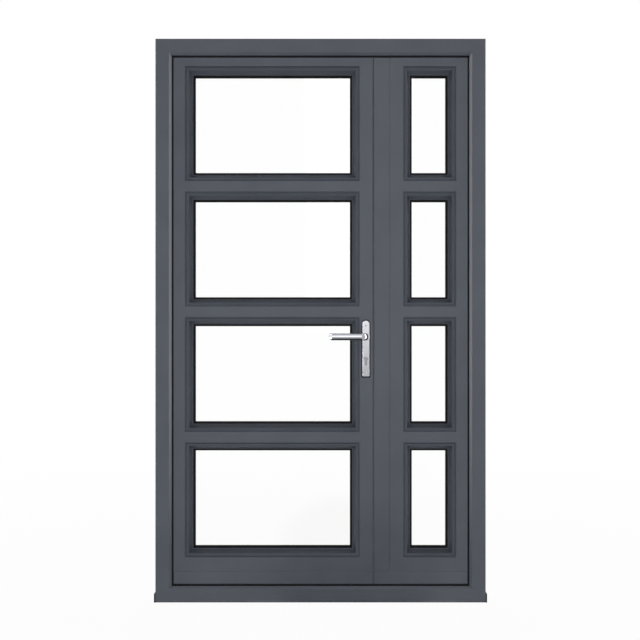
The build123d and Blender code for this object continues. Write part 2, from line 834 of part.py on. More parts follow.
with BuildPart() as outer_plate_base:
    with BuildSketch(Plane.XZ.offset(-leaf_front)):
        with Locations((spindle_x, 0)):
            add(plate_face(base_rim))
    extrude(amount=base_thickness)
outer_plate_base.part.label = "outer_plate_base"
export_step(outer_plate_base.part, "parts/outer_plate_base.step")

with BuildPart() as outer_plate:
    with BuildSketch(Plane.XZ.offset(-leaf_front + base_thickness)):
        with Locations((spindle_x, 0)):
            add(plate_face(0))
    extrude(amount=plate_thickness)
    chamfer(outer_plate.faces().sort_by(Axis.Y)[0].outer_wire().edges(), plate_chamfer)
outer_plate.part.label = "outer_plate"
export_step(outer_plate.part, "parts/outer_plate.step")

leaf_middle = Plane(origin=(0, leaf_mid_y, 0), z_dir=(0, 1, 0))
with BuildPart() as inner_plate_base:
    mirror(outer_plate_base.part, about=leaf_middle)
inner_plate_base.part.label = "inner_plate_base"
export_step(inner_plate_base.part, "parts/inner_plate_base.step")

with BuildPart() as inner_plate:
    mirror(outer_plate.part, about=leaf_middle)
inner_plate.part.label = "inner_plate"
export_step(inner_plate.part, "parts/inner_plate.step")

cylinder_half = leaf_mid_y - plate_front + cylinder_proud
with BuildPart() as lock_cylinder:
    with BuildSketch(Plane.XZ.offset(-leaf_mid_y)):
        with Locations((spindle_x, cylinder_height)):
            add(cylinder_face(0))
    extrude(amount=cylinder_half, both=True)
    # Key ways at both ends
    cylinder_ends = [Plane.XZ.offset(-leaf_mid_y + side * cylinder_half) for side in (-1, 1)]
    with BuildSketch(*cylinder_ends):
        with Locations((spindle_x, cylinder_height)):
            Rectangle(key_way_width, key_way_height)
    extrude(amount=key_way_depth, both=True, mode=Mode.SUBTRACT)
lock_cylinder.part.label = "lock_cylinder"
export_step(lock_cylinder.part, "parts/lock_cylinder.step")

# The lever: a journal in the plate, a round collar, and an oval arm that bends towards the hinges. Its tip
# is drawn in, more from below than from above.
arm_back = plate_front - collar_gap - collar_height
journal_end = plate_front - collar_gap + journal_length
grip_y = plate_front - lever_stand
tip_x = spindle_x - lever_length
half_depth = lever_depth / 2
half_height = lever_height / 2
arm_start = Plane(origin=(spindle_x, arm_back, spindle_height), x_dir=(1, 0, 0), z_dir=(0, -1, 0))
arm_end = Plane(origin=(tip_x + lever_tip_length, grip_y, spindle_height), x_dir=(0, -1, 0), z_dir=(-1, 0, 0))
with BuildPart() as outer_lever:
    with BuildLine():
        FilletPolyline(
            arm_start.origin,
            (spindle_x, grip_y, spindle_height),
            arm_end.origin,
            radius=lever_bend + half_depth,
        )
    with BuildSketch(arm_start):
        Ellipse(half_depth, half_height)
    sweep()
    with BuildSketch(arm_end):
        Ellipse(half_depth, half_height)
    with BuildSketch(arm_end.offset(lever_tip_length)):
        with Locations((0, lever_tip_lift)):
            Ellipse(half_depth - lever_tip_inset, half_height - lever_tip_inset)
    loft(ruled=True)
    with BuildSketch(Plane.XZ.offset(-arm_back)):
        with Locations((spindle_x, spindle_height)):
            Circle(collar_radius)
    extrude(amount=-collar_height)
    with BuildSketch(Plane.XZ.offset(-arm_back)):
        with Locations((spindle_x, spindle_height)):
            Circle(journal_radius)
    extrude(amount=-collar_height - journal_length)
    # Square socket of the spindle
    with BuildSketch(Plane.XZ.offset(-journal_end)):
        with Locations((spindle_x, spindle_height)):
            Rectangle(spindle_size + 2 * socket_clearance, spindle_size + 2 * socket_clearance)
    extrude(amount=socket_depth, mode=Mode.SUBTRACT)
outer_lever.part.label = "outer_lever"
export_step(outer_lever.part, "parts/outer_lever.step")

with BuildPart() as inner_lever:
    mirror(outer_lever.part, about=leaf_middle)
inner_lever.part.label = "inner_lever"
export_step(inner_lever.part, "parts/inner_lever.step")

with BuildPart() as spindle:
    with BuildSketch(Plane.XZ.offset(-leaf_mid_y)):
        with Locations((spindle_x, spindle_height)):
            Rectangle(spindle_size, spindle_size)
    extrude(amount=leaf_mid_y - journal_end + spindle_seat, both=True)
spindle.part.label = "spindle"
export_step(spindle.part, "parts/spindle.step")
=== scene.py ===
# %% [markdown]
# A glazed aluminium entrance door: one wide leaf and one narrow leaf, in a frame that stands on a sill.
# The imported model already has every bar, bead and fitting at its real size, so this lesson loads it
# as a fixed frame and then gives it finishes, smooth edges, glass, rubber, screws and light.
# Nothing that was loaded is moved: a piece is either given a better finish or replaced where it stands.

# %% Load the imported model
import json
import math

import bmesh
import bpy
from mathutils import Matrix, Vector

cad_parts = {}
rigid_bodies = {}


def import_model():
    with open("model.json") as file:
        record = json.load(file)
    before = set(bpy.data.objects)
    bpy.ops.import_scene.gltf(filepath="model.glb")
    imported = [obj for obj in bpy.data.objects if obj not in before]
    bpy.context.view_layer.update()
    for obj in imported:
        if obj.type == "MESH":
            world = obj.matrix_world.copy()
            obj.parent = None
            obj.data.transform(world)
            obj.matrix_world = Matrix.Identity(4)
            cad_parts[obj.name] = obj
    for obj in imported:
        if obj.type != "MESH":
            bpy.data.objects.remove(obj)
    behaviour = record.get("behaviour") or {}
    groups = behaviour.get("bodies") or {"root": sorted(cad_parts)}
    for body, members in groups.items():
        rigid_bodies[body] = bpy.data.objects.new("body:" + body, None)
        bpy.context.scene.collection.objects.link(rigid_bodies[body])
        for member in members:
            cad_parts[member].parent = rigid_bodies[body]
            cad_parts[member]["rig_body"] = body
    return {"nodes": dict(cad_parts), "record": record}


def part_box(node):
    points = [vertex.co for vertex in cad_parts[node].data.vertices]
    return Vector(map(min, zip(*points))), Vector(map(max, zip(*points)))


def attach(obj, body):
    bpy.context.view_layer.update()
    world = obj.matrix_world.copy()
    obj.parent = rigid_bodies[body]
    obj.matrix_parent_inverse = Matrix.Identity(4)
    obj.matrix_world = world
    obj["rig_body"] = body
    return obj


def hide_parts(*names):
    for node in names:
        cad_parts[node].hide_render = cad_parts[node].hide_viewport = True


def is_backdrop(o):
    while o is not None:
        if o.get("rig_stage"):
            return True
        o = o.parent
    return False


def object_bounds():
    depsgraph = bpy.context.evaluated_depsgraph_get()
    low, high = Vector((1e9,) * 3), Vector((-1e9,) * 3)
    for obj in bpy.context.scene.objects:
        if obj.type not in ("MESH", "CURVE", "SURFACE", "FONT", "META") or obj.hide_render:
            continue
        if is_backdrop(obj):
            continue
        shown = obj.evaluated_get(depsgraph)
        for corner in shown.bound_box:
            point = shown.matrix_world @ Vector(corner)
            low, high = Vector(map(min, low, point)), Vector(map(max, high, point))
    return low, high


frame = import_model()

MM = 0.001
cad_low, cad_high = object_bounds()
slot_of = {row["node"]: row["material_slot"] for row in frame["record"]["subparts"]}
print("nodes:", len(frame["nodes"]), "size in metres:", [round(b - a, 3) for a, b in zip(cad_low, cad_high)])

# %% [markdown]
# The picture was taken square on, from the height of a person's chest, with a normal lens.
# The plane of the frame's front fills the picture with 2439 mm, so a 50 mm lens on a 36 mm sensor stands
# 3.39 m in front of it. The camera is level, which keeps the upright lines upright.

# %% Camera
LENS_MM = 50.0
SENSOR_MM = 36.0
PICTURE_WIDTH = 2.439
VIEW_X = -0.002
VIEW_HEIGHT = 1.078
camera_data = bpy.data.cameras.new("camera")
camera_data.lens = LENS_MM
camera_data.sensor_width = SENSOR_MM
camera = bpy.data.objects.new("camera", camera_data)
bpy.context.scene.collection.objects.link(camera)
view_distance = PICTURE_WIDTH * LENS_MM / SENSOR_MM
camera.location = (VIEW_X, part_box("head")[0].y - view_distance, VIEW_HEIGHT)
camera.rotation_euler = (math.radians(90), 0, 0)
bpy.context.scene.camera = camera
print("camera stands", round(view_distance, 3), "m in front of the frame")

# %% [markdown]
# Every finish is a small tree of shader nodes. Two helpers keep those trees short: one turns a colour
# as a painter would write it into the linear numbers that the renderer adds up, and one adds a node
# with its settings and its links. Patterns are sized in real millimetres.

# %% Helpers for the finishes


def linear(hex_colour):
    """Linear RGBA from an sRGB colour such as 585b62."""
    values = [int(hex_colour[n:n + 2], 16) / 255 for n in (0, 2, 4)]
    return [v / 12.92 if v <= 0.04045 else ((v + 0.055) / 1.055) ** 2.4 for v in values] + [1.0]


def per_metre(size_mm):
    """Scale of a pattern whose marks are that many millimetres across."""
    return 1 / (size_mm * MM)


def add_node(tree, kind, settings=None, inputs=None):
    """Adds a node with its own settings. Its inputs are values or the outputs of other nodes."""
    made = tree.nodes.new(kind)
    for name, value in (settings or {}).items():
        setattr(made, name, value)
    for name, value in (inputs or {}).items():
        if isinstance(value, bpy.types.NodeSocket):
            tree.links.new(value, made.inputs[name])
        else:
            made.inputs[name].default_value = value
    return made


def set_ramp(ramp, *stops):
    """Sets the two stops of a colour ramp, each a place from 0 to 1 and a colour."""
    for element, (place, colour) in zip(ramp.color_ramp.elements, stops):
        element.position = place
        element.color = linear(colour)


def new_finish(name):
    """A new material: its tree, its shader and the coordinates that its patterns read."""
    material = bpy.data.materials.new(name)
    material.use_nodes = True
    tree = material.node_tree
    place = add_node(tree, "ShaderNodeTexCoord").outputs["Object"]
    return material, tree, tree.nodes["Principled BSDF"], place


def connect(tree, shader, links):
    """Links outputs to the shader's sockets by name."""
    for name, output in links.items():
        tree.links.new(output, shader.inputs[name])


finishes = {}
print("anthracite in linear numbers:", [round(v, 4) for v in linear("4a4e55")])

# %% [markdown]
# The bars are extruded aluminium with a baked polyester powder coat in anthracite grey. The powder melts
# into a satin skin with a very fine grain, so it has soft highlights on its edges, a faint cloudiness in
# its colour and no sparkle. The real grain is about 0.3 mm. It is drawn at 1.1 mm, as a finer one would
# not show. The beads have a flatter coat, which keeps their steep sides dark beside the glass, and the
# hinges are steel with a slightly darker and smoother coat of the same kind.

# %% Powder-coated aluminium and steel
COAT_GRAIN_MM = 1.1
COAT_CLOUD_MM = 160.0
COAT_GRAIN_SHARE = 0.35
COAT_TINT_RANGE = (0.36, 0.64)
COAT_BUMP = 0.12
COAT_BUMP_MM = 0.2


def powder_coat(name, dark, light, smooth, rough, specular):
    material, tree, shader, place = new_finish(name)
    cloud = add_node(tree, "ShaderNodeTexNoise", None, {
        "Vector": place, "Scale": per_metre(COAT_CLOUD_MM), "Detail": 4.0}).outputs["Fac"]
    grain = add_node(tree, "ShaderNodeTexNoise", None, {
        "Vector": place, "Scale": per_metre(COAT_GRAIN_MM), "Detail": 2.0}).outputs["Fac"]
    both = add_node(tree, "ShaderNodeMix", None, {"Factor": COAT_GRAIN_SHARE, "A": cloud, "B": grain})
    tint = add_node(tree, "ShaderNodeValToRGB", None, {"Fac": both.outputs["Result"]})
    set_ramp(tint, (COAT_TINT_RANGE[0], dark), (COAT_TINT_RANGE[1], light))
    gloss = add_node(tree, "ShaderNodeMapRange", None, {"Value": cloud, "To Min": smooth, "To Max": rough})
    bump = add_node(tree, "ShaderNodeBump", None, {
        "Strength": COAT_BUMP, "Distance": COAT_BUMP_MM * MM, "Height": grain})
    connect(tree, shader, {
        "Base Color": tint.outputs["Color"],
        "Roughness": gloss.outputs["Result"],
        "Normal": bump.outputs["Normal"]})
    shader.inputs["Specular IOR Level"].default_value = specular
    return material


finishes["powder_coat"] = powder_coat(
    "powder_coated_aluminium", "444850", "4b4f57", smooth=0.36, rough=0.44, specular=0.35)
finishes["bead_coat"] = powder_coat(
    "powder_coated_bead", "444850", "4b4f57", smooth=0.34, rough=0.44, specular=0.07)
finishes["hinge_coat"] = powder_coat(
    "powder_coated_hinge_steel", "3e4249", "464a51", smooth=0.26, rough=0.36, specular=0.25)
print("coat grain drawn at", COAT_GRAIN_MM, "mm")

# %% [markdown]
# Rubber and plastic close the gaps. The gaskets are extruded black EPDM with a dull bloom, the meeting
# seal is the same rubber in grey, and the handle's bases and the sill's end caps are moulded black nylon,
# a little smoother than the rubber. All three are dark and matt, with a faint haze that varies.

# %% Rubber and plastic
RUBBER_GRAIN_MM = 1.5
RUBBER_BUMP_MM = 0.2
BLOOM_MM = 35.0
BLOOM_TINT_RANGE = (0.35, 0.7)
BLOOM_ROUGHNESS = 0.06
SOFT_SPECULAR = 0.15


def soft_black(name, deep, bloom, roughness, grain_strength):
    material, tree, shader, place = new_finish(name)
    haze = add_node(tree, "ShaderNodeTexNoise", None, {
        "Vector": place, "Scale": per_metre(BLOOM_MM), "Detail": 5.0}).outputs["Fac"]
    grain = add_node(tree, "ShaderNodeTexNoise", None, {
        "Vector": place, "Scale": per_metre(RUBBER_GRAIN_MM), "Detail": 3.0}).outputs["Fac"]
    tint = add_node(tree, "ShaderNodeValToRGB", None, {"Fac": haze})
    set_ramp(tint, (BLOOM_TINT_RANGE[0], deep), (BLOOM_TINT_RANGE[1], bloom))
    gloss = add_node(tree, "ShaderNodeMapRange", None, {
        "Value": haze, "To Min": roughness - BLOOM_ROUGHNESS, "To Max": roughness + BLOOM_ROUGHNESS})
    bump = add_node(tree, "ShaderNodeBump", None, {
        "Strength": grain_strength, "Distance": RUBBER_BUMP_MM * MM, "Height": grain})
    connect(tree, shader, {
        "Base Color": tint.outputs["Color"],
        "Roughness": gloss.outputs["Result"],
        "Normal": bump.outputs["Normal"]})
    shader.inputs["Specular IOR Level"].default_value = SOFT_SPECULAR
    return material


finishes["black_rubber"] = soft_black(
    "extruded_black_epdm", "0b0b0c", "151517", roughness=0.75, grain_strength=0.2)
finishes["grey_rubber"] = soft_black(
    "extruded_grey_epdm", "404349", "4a4d53", roughness=0.75, grain_strength=0.2)
finishes["black_plastic"] = soft_black(
    "moulded_black_nylon", "101012", "1a1a1d", roughness=0.5, grain_strength=0.12)
print("rubber and plastic finishes:", 3)

# %% [markdown]
# The handle set is satin anodised aluminium: metal that was brushed along its length and then dipped.
# The brushing leaves long fine scratches that stretch each highlight. They are about 0.05 mm wide in life
# and are drawn at 0.6 mm, stretched along the piece. The lock's plates are brushed steel, the key
# cylinder is satin nickel and the bare screws are zinc plated.

# %% Bare metals
BRUSH_WIDTH_MM = 0.6
BRUSH_LENGTH_MM = 45.0
BRUSH_BUMP = 0.08
BRUSH_BUMP_MM = 0.1
STAIN_MM = 60.0
STAIN_TINT_RANGE = (0.3, 0.7)


def brushed_metal(name, dark, light, smooth, rough, along):
    """A metal brushed along the X, Y or Z axis."""
    material, tree, shader, place = new_finish(name)
    stretch = [per_metre(BRUSH_LENGTH_MM if axis == along else BRUSH_WIDTH_MM) for axis in "XYZ"]
    stretched = add_node(tree, "ShaderNodeMapping", None, {"Vector": place, "Scale": stretch})
    scratch = add_node(tree, "ShaderNodeTexNoise", None, {
        "Vector": stretched.outputs["Vector"], "Scale": 1.0, "Detail": 3.0}).outputs["Fac"]
    stain = add_node(tree, "ShaderNodeTexNoise", None, {
        "Vector": place, "Scale": per_metre(STAIN_MM), "Detail": 3.0}).outputs["Fac"]
    tint = add_node(tree, "ShaderNodeValToRGB", None, {"Fac": stain})
    set_ramp(tint, (STAIN_TINT_RANGE[0], dark), (STAIN_TINT_RANGE[1], light))
    gloss = add_node(tree, "ShaderNodeMapRange", None, {"Value": scratch, "To Min": smooth, "To Max": rough})
    bump = add_node(tree, "ShaderNodeBump", None, {
        "Strength": BRUSH_BUMP, "Distance": BRUSH_BUMP_MM * MM, "Height": scratch})
    connect(tree, shader, {
        "Base Color": tint.outputs["Color"],
        "Roughness": gloss.outputs["Result"],
        "Normal": bump.outputs["Normal"]})
    shader.inputs["Metallic"].default_value = 1.0
    return material


finishes["satin_aluminium"] = brushed_metal(
    "satin_anodised_aluminium", "a6a7ac", "b0b1b5", smooth=0.15, rough=0.24, along="Z")
finishes["lever_aluminium"] = brushed_metal(
    "satin_anodised_lever", "a6a7ac", "b0b1b5", smooth=0.09, rough=0.15, along="X")
finishes["lock_steel"] = brushed_metal(
    "brushed_lock_steel", "96989c", "a8aaad", smooth=0.26, rough=0.42, along="Z")
finishes["cylinder_nickel"] = brushed_metal(
    "satin_nickel", "85858a", "929297", smooth=0.2, rough=0.3, along="Y")
finishes["screw_zinc"] = brushed_metal(
    "zinc_plated_steel", "9a9c9f", "b0b2b4", smooth=0.28, rough=0.4, along="X")
print("metal finishes:", sum(m.node_tree.nodes["Principled BSDF"].inputs["Metallic"].default_value > 0
                             for m in finishes.values()))

# %% [markdown]
# The panes are laminated glass: two sheets of clear float glass with a clear film pressed between them.
# Clear glass shows almost nothing of itself but its reflections. A slight film of dust, stronger in
# some places than in others, keeps it from looking like an empty hole.

# %% Clear float glass
FILM_MM = 90.0
FILM_ROUGHNESS = 0.03
GLASS_IOR = 1.5


def float_glass(name):
    material, tree, shader, place = new_finish(name)
    film = add_node(tree, "ShaderNodeTexNoise", None, {
        "Vector": place, "Scale": per_metre(FILM_MM), "Detail": 4.0}).outputs["Fac"]
    gloss = add_node(tree, "ShaderNodeMapRange", None, {
        "Value": film, "To Min": 0.0, "To Max": FILM_ROUGHNESS})
    connect(tree, shader, {"Roughness": gloss.outputs["Result"]})
    shader.inputs["Base Color"].default_value = linear("fdfefd")
    shader.inputs["Transmission Weight"].default_value = 1.0
    shader.inputs["IOR"].default_value = GLASS_IOR
    return material


finishes["clear_glass"] = float_glass("clear_float_glass")
print("finishes:", len(finishes))

# %% [markdown]
# A loaded piece is made of loose triangles, each shaded flat, so its round edges look like cut gems.
# For every piece with such edges a copy is taken, its corners are merged, and its normals are smoothed over
# edges that turn less than a set angle. A small bevel then rounds the hard edges, as a coat of paint does.
# The copy of the meeting seal also gets a thin lip. A real seal leans on the other leaf, so no daylight
# comes through the gap between the leaves, and the lip is what closes it to the eye.

# %% Smooth copies of the loaded pieces
SMOOTH_ANGLE = math.radians(28)
FLAT_ANGLE = math.radians(0.4)
MERGE_DISTANCE = 2e-6
BEVEL_SEGMENTS = 3
LIP_EDGE_MM = 0.1
LIP_REACH_MM = 1.05


def settle(piece):
    """Turns a piece with modifiers into a plain mesh."""
    graph = bpy.context.evaluated_depsgraph_get()
    mesh = bpy.data.meshes.new_from_object(piece.evaluated_get(graph))
    piece.modifiers.clear()
    piece.data = mesh


def show(name, mesh, finish):
    """A new piece at the origin, with its place in its mesh."""
    piece = bpy.data.objects.new(name, mesh)
    bpy.context.scene.collection.objects.link(piece)
    mesh.materials.clear()
    mesh.materials.append(finishes[finish])
    return piece


def merged(node):
    """A node's mesh with its loose triangles joined at their corners."""
    work = bmesh.new()
    work.from_mesh(frame["nodes"][node].data)
    bmesh.ops.remove_doubles(work, verts=work.verts, dist=MERGE_DISTANCE)
    return work


def draw_out_lip(work):
    """Draws the front edge of the meeting seal out to a lip, close behind the main leaf's corner."""
    low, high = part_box("meeting_seal")
    for vertex in work.verts:
        if vertex.co.x < low.x + LIP_EDGE_MM * MM and vertex.co.y < (low.y + high.y) / 2:
            vertex.co.x -= LIP_REACH_MM * MM


def smooth_copy(node, finish, bevel_mm):
    """Stands in for a loaded node, with smooth rounds and softened edges."""
    work = merged(node)
    if node == "meeting_seal":
        draw_out_lip(work)
    bmesh.ops.dissolve_limit(work, angle_limit=FLAT_ANGLE, verts=work.verts, edges=work.edges)
    mesh = bpy.data.meshes.new(node + "_finished")
    work.to_mesh(mesh)
    work.free()
    mesh.shade_smooth()
    mesh.set_sharp_from_angle(angle=SMOOTH_ANGLE)
    piece = show(node + "_finished", mesh, finish)
    if bevel_mm:
        bevel = piece.modifiers.new("softened_edges", "BEVEL")
        bevel.width = bevel_mm * MM
        bevel.segments = BEVEL_SEGMENTS
        bevel.limit_method = "ANGLE"
        bevel.angle_limit = SMOOTH_ANGLE
        bevel.harden_normals = True
    weight = piece.modifiers.new("flat_faces_stay_flat", "WEIGHTED_NORMAL")
    weight.keep_sharp = True
    settle(piece)
    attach(piece, frame["nodes"][node]["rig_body"])
    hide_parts(node)


softened_mm = {
    "left_jamb": 0.3, "right_jamb": 0.3, "head": 0.3, "threshold": 0.3, "sill": 0.6, "sill_end_caps": 0.6,
    "main_outer_beads": 0.25, "side_outer_beads": 0.25, "main_inner_beads": 0.4, "side_inner_beads": 0.4,
    "weather_gasket": 0.8, "main_glazing_gaskets": 0.9, "side_glazing_gaskets": 0.9,
    "meeting_strip": 0.0, "meeting_seal": 0.2, "main_plinth": 0.2, "side_plinth": 0.2,
    "main_hinge_frame_halves": 0.5, "side_hinge_frame_halves": 0.5,
    "main_hinge_leaf_halves": 0.5, "side_hinge_leaf_halves": 0.5,
    "outer_plate": 1.1, "inner_plate": 1.1, "outer_plate_base": 0.4, "inner_plate_base": 0.4,
    "lock_cylinder": 0.25, "outer_lever": 1.2, "inner_lever": 1.2,
    "lock_face_plate": 0.2, "keep_plate": 0.2, "hook_keeps": 0.2, "lock_bolts": 0.3,
}
own_finish = {
    "outer_lever": "lever_aluminium", "inner_lever": "lever_aluminium",
    "main_outer_beads": "bead_coat", "side_outer_beads": "bead_coat",
    "main_inner_beads": "bead_coat", "side_inner_beads": "bead_coat",
}
for node, bevel_mm in softened_mm.items():
    smooth_copy(node, own_finish.get(node, slot_of[node]), bevel_mm)
print("smooth copies:", len(softened_mm))

# %% [markdown]
# The plain bars need no copy: their loaded meshes already have the right edges, so they keep their
# shape and only change their finish.

# %% Finishes on the loaded bars
for node, piece in frame["nodes"].items():
    if node not in softened_mm:
        piece.data.materials.clear()
        piece.data.materials.append(finishes[slot_of[node]])
print("loaded pieces with a new finish:", len(frame["nodes"]) - len(softened_mm))

# %% [markdown]
# Several pieces are placed on loaded ones, such as glass on its bed and screws on their plates. A loaded
# node can hold several solids that don't touch, so one helper splits it into solids, and two more give
# a solid's box and the flat face that it turns in a given direction.

# %% Solids of a loaded piece
FACING_LIMIT = 0.9


def solids(node):
    """The separate solids of a node from the ground up, each a list of the corners of its triangles."""
    work = merged(node)
    left = set(work.faces)
    found = []
    while left:
        group, waiting = [], [left.pop()]
        while waiting:
            face = waiting.pop()
            group.append([vertex.co.copy() for vertex in face.verts])
            near = {other for edge in face.edges for other in edge.link_faces} & left
            left -= near
            waiting.extend(near)
        found.append(group)
    work.free()
    return sorted(found, key=lambda group: tuple(round(v, 4) for v in box_of(group)[0].zyx))


def box_of(solid):
    """Lowest and highest corner of a solid."""
    points = [corner for triangle in solid for corner in triangle]
    low = Vector([min(p[n] for p in points) for n in range(3)])
    high = Vector([max(p[n] for p in points) for n in range(3)])
    return low, high


def flat_towards(solid, direction):
    """Normal of the largest flat that faces a direction, and the point of it over the middle of the solid."""
    best_area, normal = 0.0, Vector(direction)
    for a, b, c in solid:
        across = (b - a).cross(c - a)
        if across.length > best_area and across.normalized().dot(direction) > FACING_LIMIT:
            best_area, normal = across.length, across.normalized()
    top = max(normal.dot(corner) for triangle in solid for corner in triangle)
    low, high = box_of(solid)
    middle = (low + high) / 2
    return normal, middle + normal * (top - normal.dot(middle))


print("panes:", len(solids("main_glass")) + len(solids("side_glass")))

# %% [markdown]
# A loaded pane is a plain block with sharp edges, which would show as a bright line where it catches the
# light. Real glass has its edges ground to a small bevel, so each pane is made again as a sheet with
# bevelled edges, in the same place, behind the gaskets.

# %% Glass panes
GROUND_EDGE_MM = 0.8


def add_sheet(work, low, high, edge):
    """A thin upright sheet with a bevel round its front and back edges."""
    loops = []
    for inset, y in ((edge, low.y), (0, low.y + edge), (0, high.y - edge), (edge, high.y)):
        x0, x1, z0, z1 = low.x + inset, high.x - inset, low.z + inset, high.z - inset
        loops.append([work.verts.new(p) for p in ((x0, y, z0), (x1, y, z0), (x1, y, z1), (x0, y, z1))])
    work.faces.new(loops[0])
    work.faces.new(loops[-1])
    for one, two in zip(loops, loops[1:]):
        for n in range(4):
            work.faces.new((one[n], one[n - 1], two[n - 1], two[n]))


def close_mesh(work, name):
    """Makes a mesh from finished faces, all turned outwards."""
    bmesh.ops.recalc_face_normals(work, faces=work.faces)
    mesh = bpy.data.meshes.new(name)
    work.to_mesh(mesh)
    work.free()
    return mesh


for leaf in ("main", "side"):
    node = leaf + "_glass"
    sheets = bmesh.new()
    for low, high in [box_of(pane) for pane in solids(node)]:
        add_sheet(sheets, low, high, GROUND_EDGE_MM * MM)
    panes = show(leaf + "_panes", close_mesh(sheets, leaf + "_panes"), "clear_glass")
    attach(panes, leaf + "_leaf")
    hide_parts(node)
    print(leaf, "panes:", len(panes.data.polygons), "faces")

# %% [markdown]
# The key goes into a round plug in the lock cylinder. The plug turns in the cylinder, so a fine ring
# parts the two, and a slot for the key runs through its middle. It is one disc for each end, a little
# proud of the cylinder, with the slot left open over the loaded keyway.

# %% Key plugs
CYLINDER_RADIUS_MM = 8.5
PLUG_RADIUS_MM = 6.4
PLUG_PROUD_MM = 0.4
PLUG_EDGE_MM = 0.25
KEY_SLOT_MM = (2.5, 9.0)
PLUG_SIDES = 40
NEAR_ZERO = 1e-6


def add_plug(work, centre, outwards):
    """A slotted disc, a little proud of a cylinder's end. Outwards is -1 for the front, 1 for the back.
    It is a ring of loops. A loop with no radius follows the slot."""
    half_slot = [size * MM / 2 for size in KEY_SLOT_MM]
    loops = []
    for radius_mm, proud_mm in (
        (PLUG_RADIUS_MM, 0.0),
        (PLUG_RADIUS_MM, PLUG_PROUD_MM - PLUG_EDGE_MM),
        (PLUG_RADIUS_MM - PLUG_EDGE_MM, PLUG_PROUD_MM),
        (0.0, PLUG_PROUD_MM),
        (0.0, 0.0),
    ):
        loop = []
        for n in range(PLUG_SIDES):
            turn = 2 * math.pi * n / PLUG_SIDES
            x, z = math.cos(turn), math.sin(turn)
            if radius_mm:
                x, z = x * radius_mm * MM, z * radius_mm * MM
            else:
                grow = min(half_slot[0] / max(abs(x), NEAR_ZERO), half_slot[1] / max(abs(z), NEAR_ZERO))
                x, z = x * grow, z * grow
            loop.append(work.verts.new((centre.x + x, centre.y + outwards * proud_mm * MM, centre.z + z)))
        loops.append(loop)
    for one, two in zip(loops, loops[1:] + loops[:1]):
        for n in range(PLUG_SIDES):
            work.faces.new((one[n], one[n - 1], two[n - 1], two[n]))


low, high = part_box("lock_cylinder")
plug_work = bmesh.new()
for y, outwards in ((low.y, -1), (high.y, 1)):
    add_plug(plug_work, Vector(((low.x + high.x) / 2, y, high.z - CYLINDER_RADIUS_MM * MM)), outwards)
plugs = show("key_plugs", close_mesh(plug_work, "key_plugs"), "cylinder_nickel")
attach(plugs, "main_leaf")
print("key plugs:", len(plugs.data.polygons), "faces")

# %% [markdown]
# The screws are countersunk heads with a cross recess. They repeat on the hinges, the lock's plates and the
# handle's plates, so one small node tree makes a head once and sets a copy on every seat, turned to face
# away from the metal. A seat is a point with a direction.

# %% Screw tree
HEAD_SIDES = 28
RIM_SHARE = 0.72
CROSS_WAIST_SHARE = 0.34
CROSS_ARMS = 4
RECESS_FLOOR_SHARE = 0.3
CUTTER_HEIGHT_SHARE = 2.0
CUTTER_MERGE_DISTANCE = 1e-6


def share_of(tree, value, share):
    """A part of a size that comes in through the tree's inputs."""
    return add_node(tree, "ShaderNodeMath", {"operation": "MULTIPLY"}, {0: value, 1: share}).outputs[0]


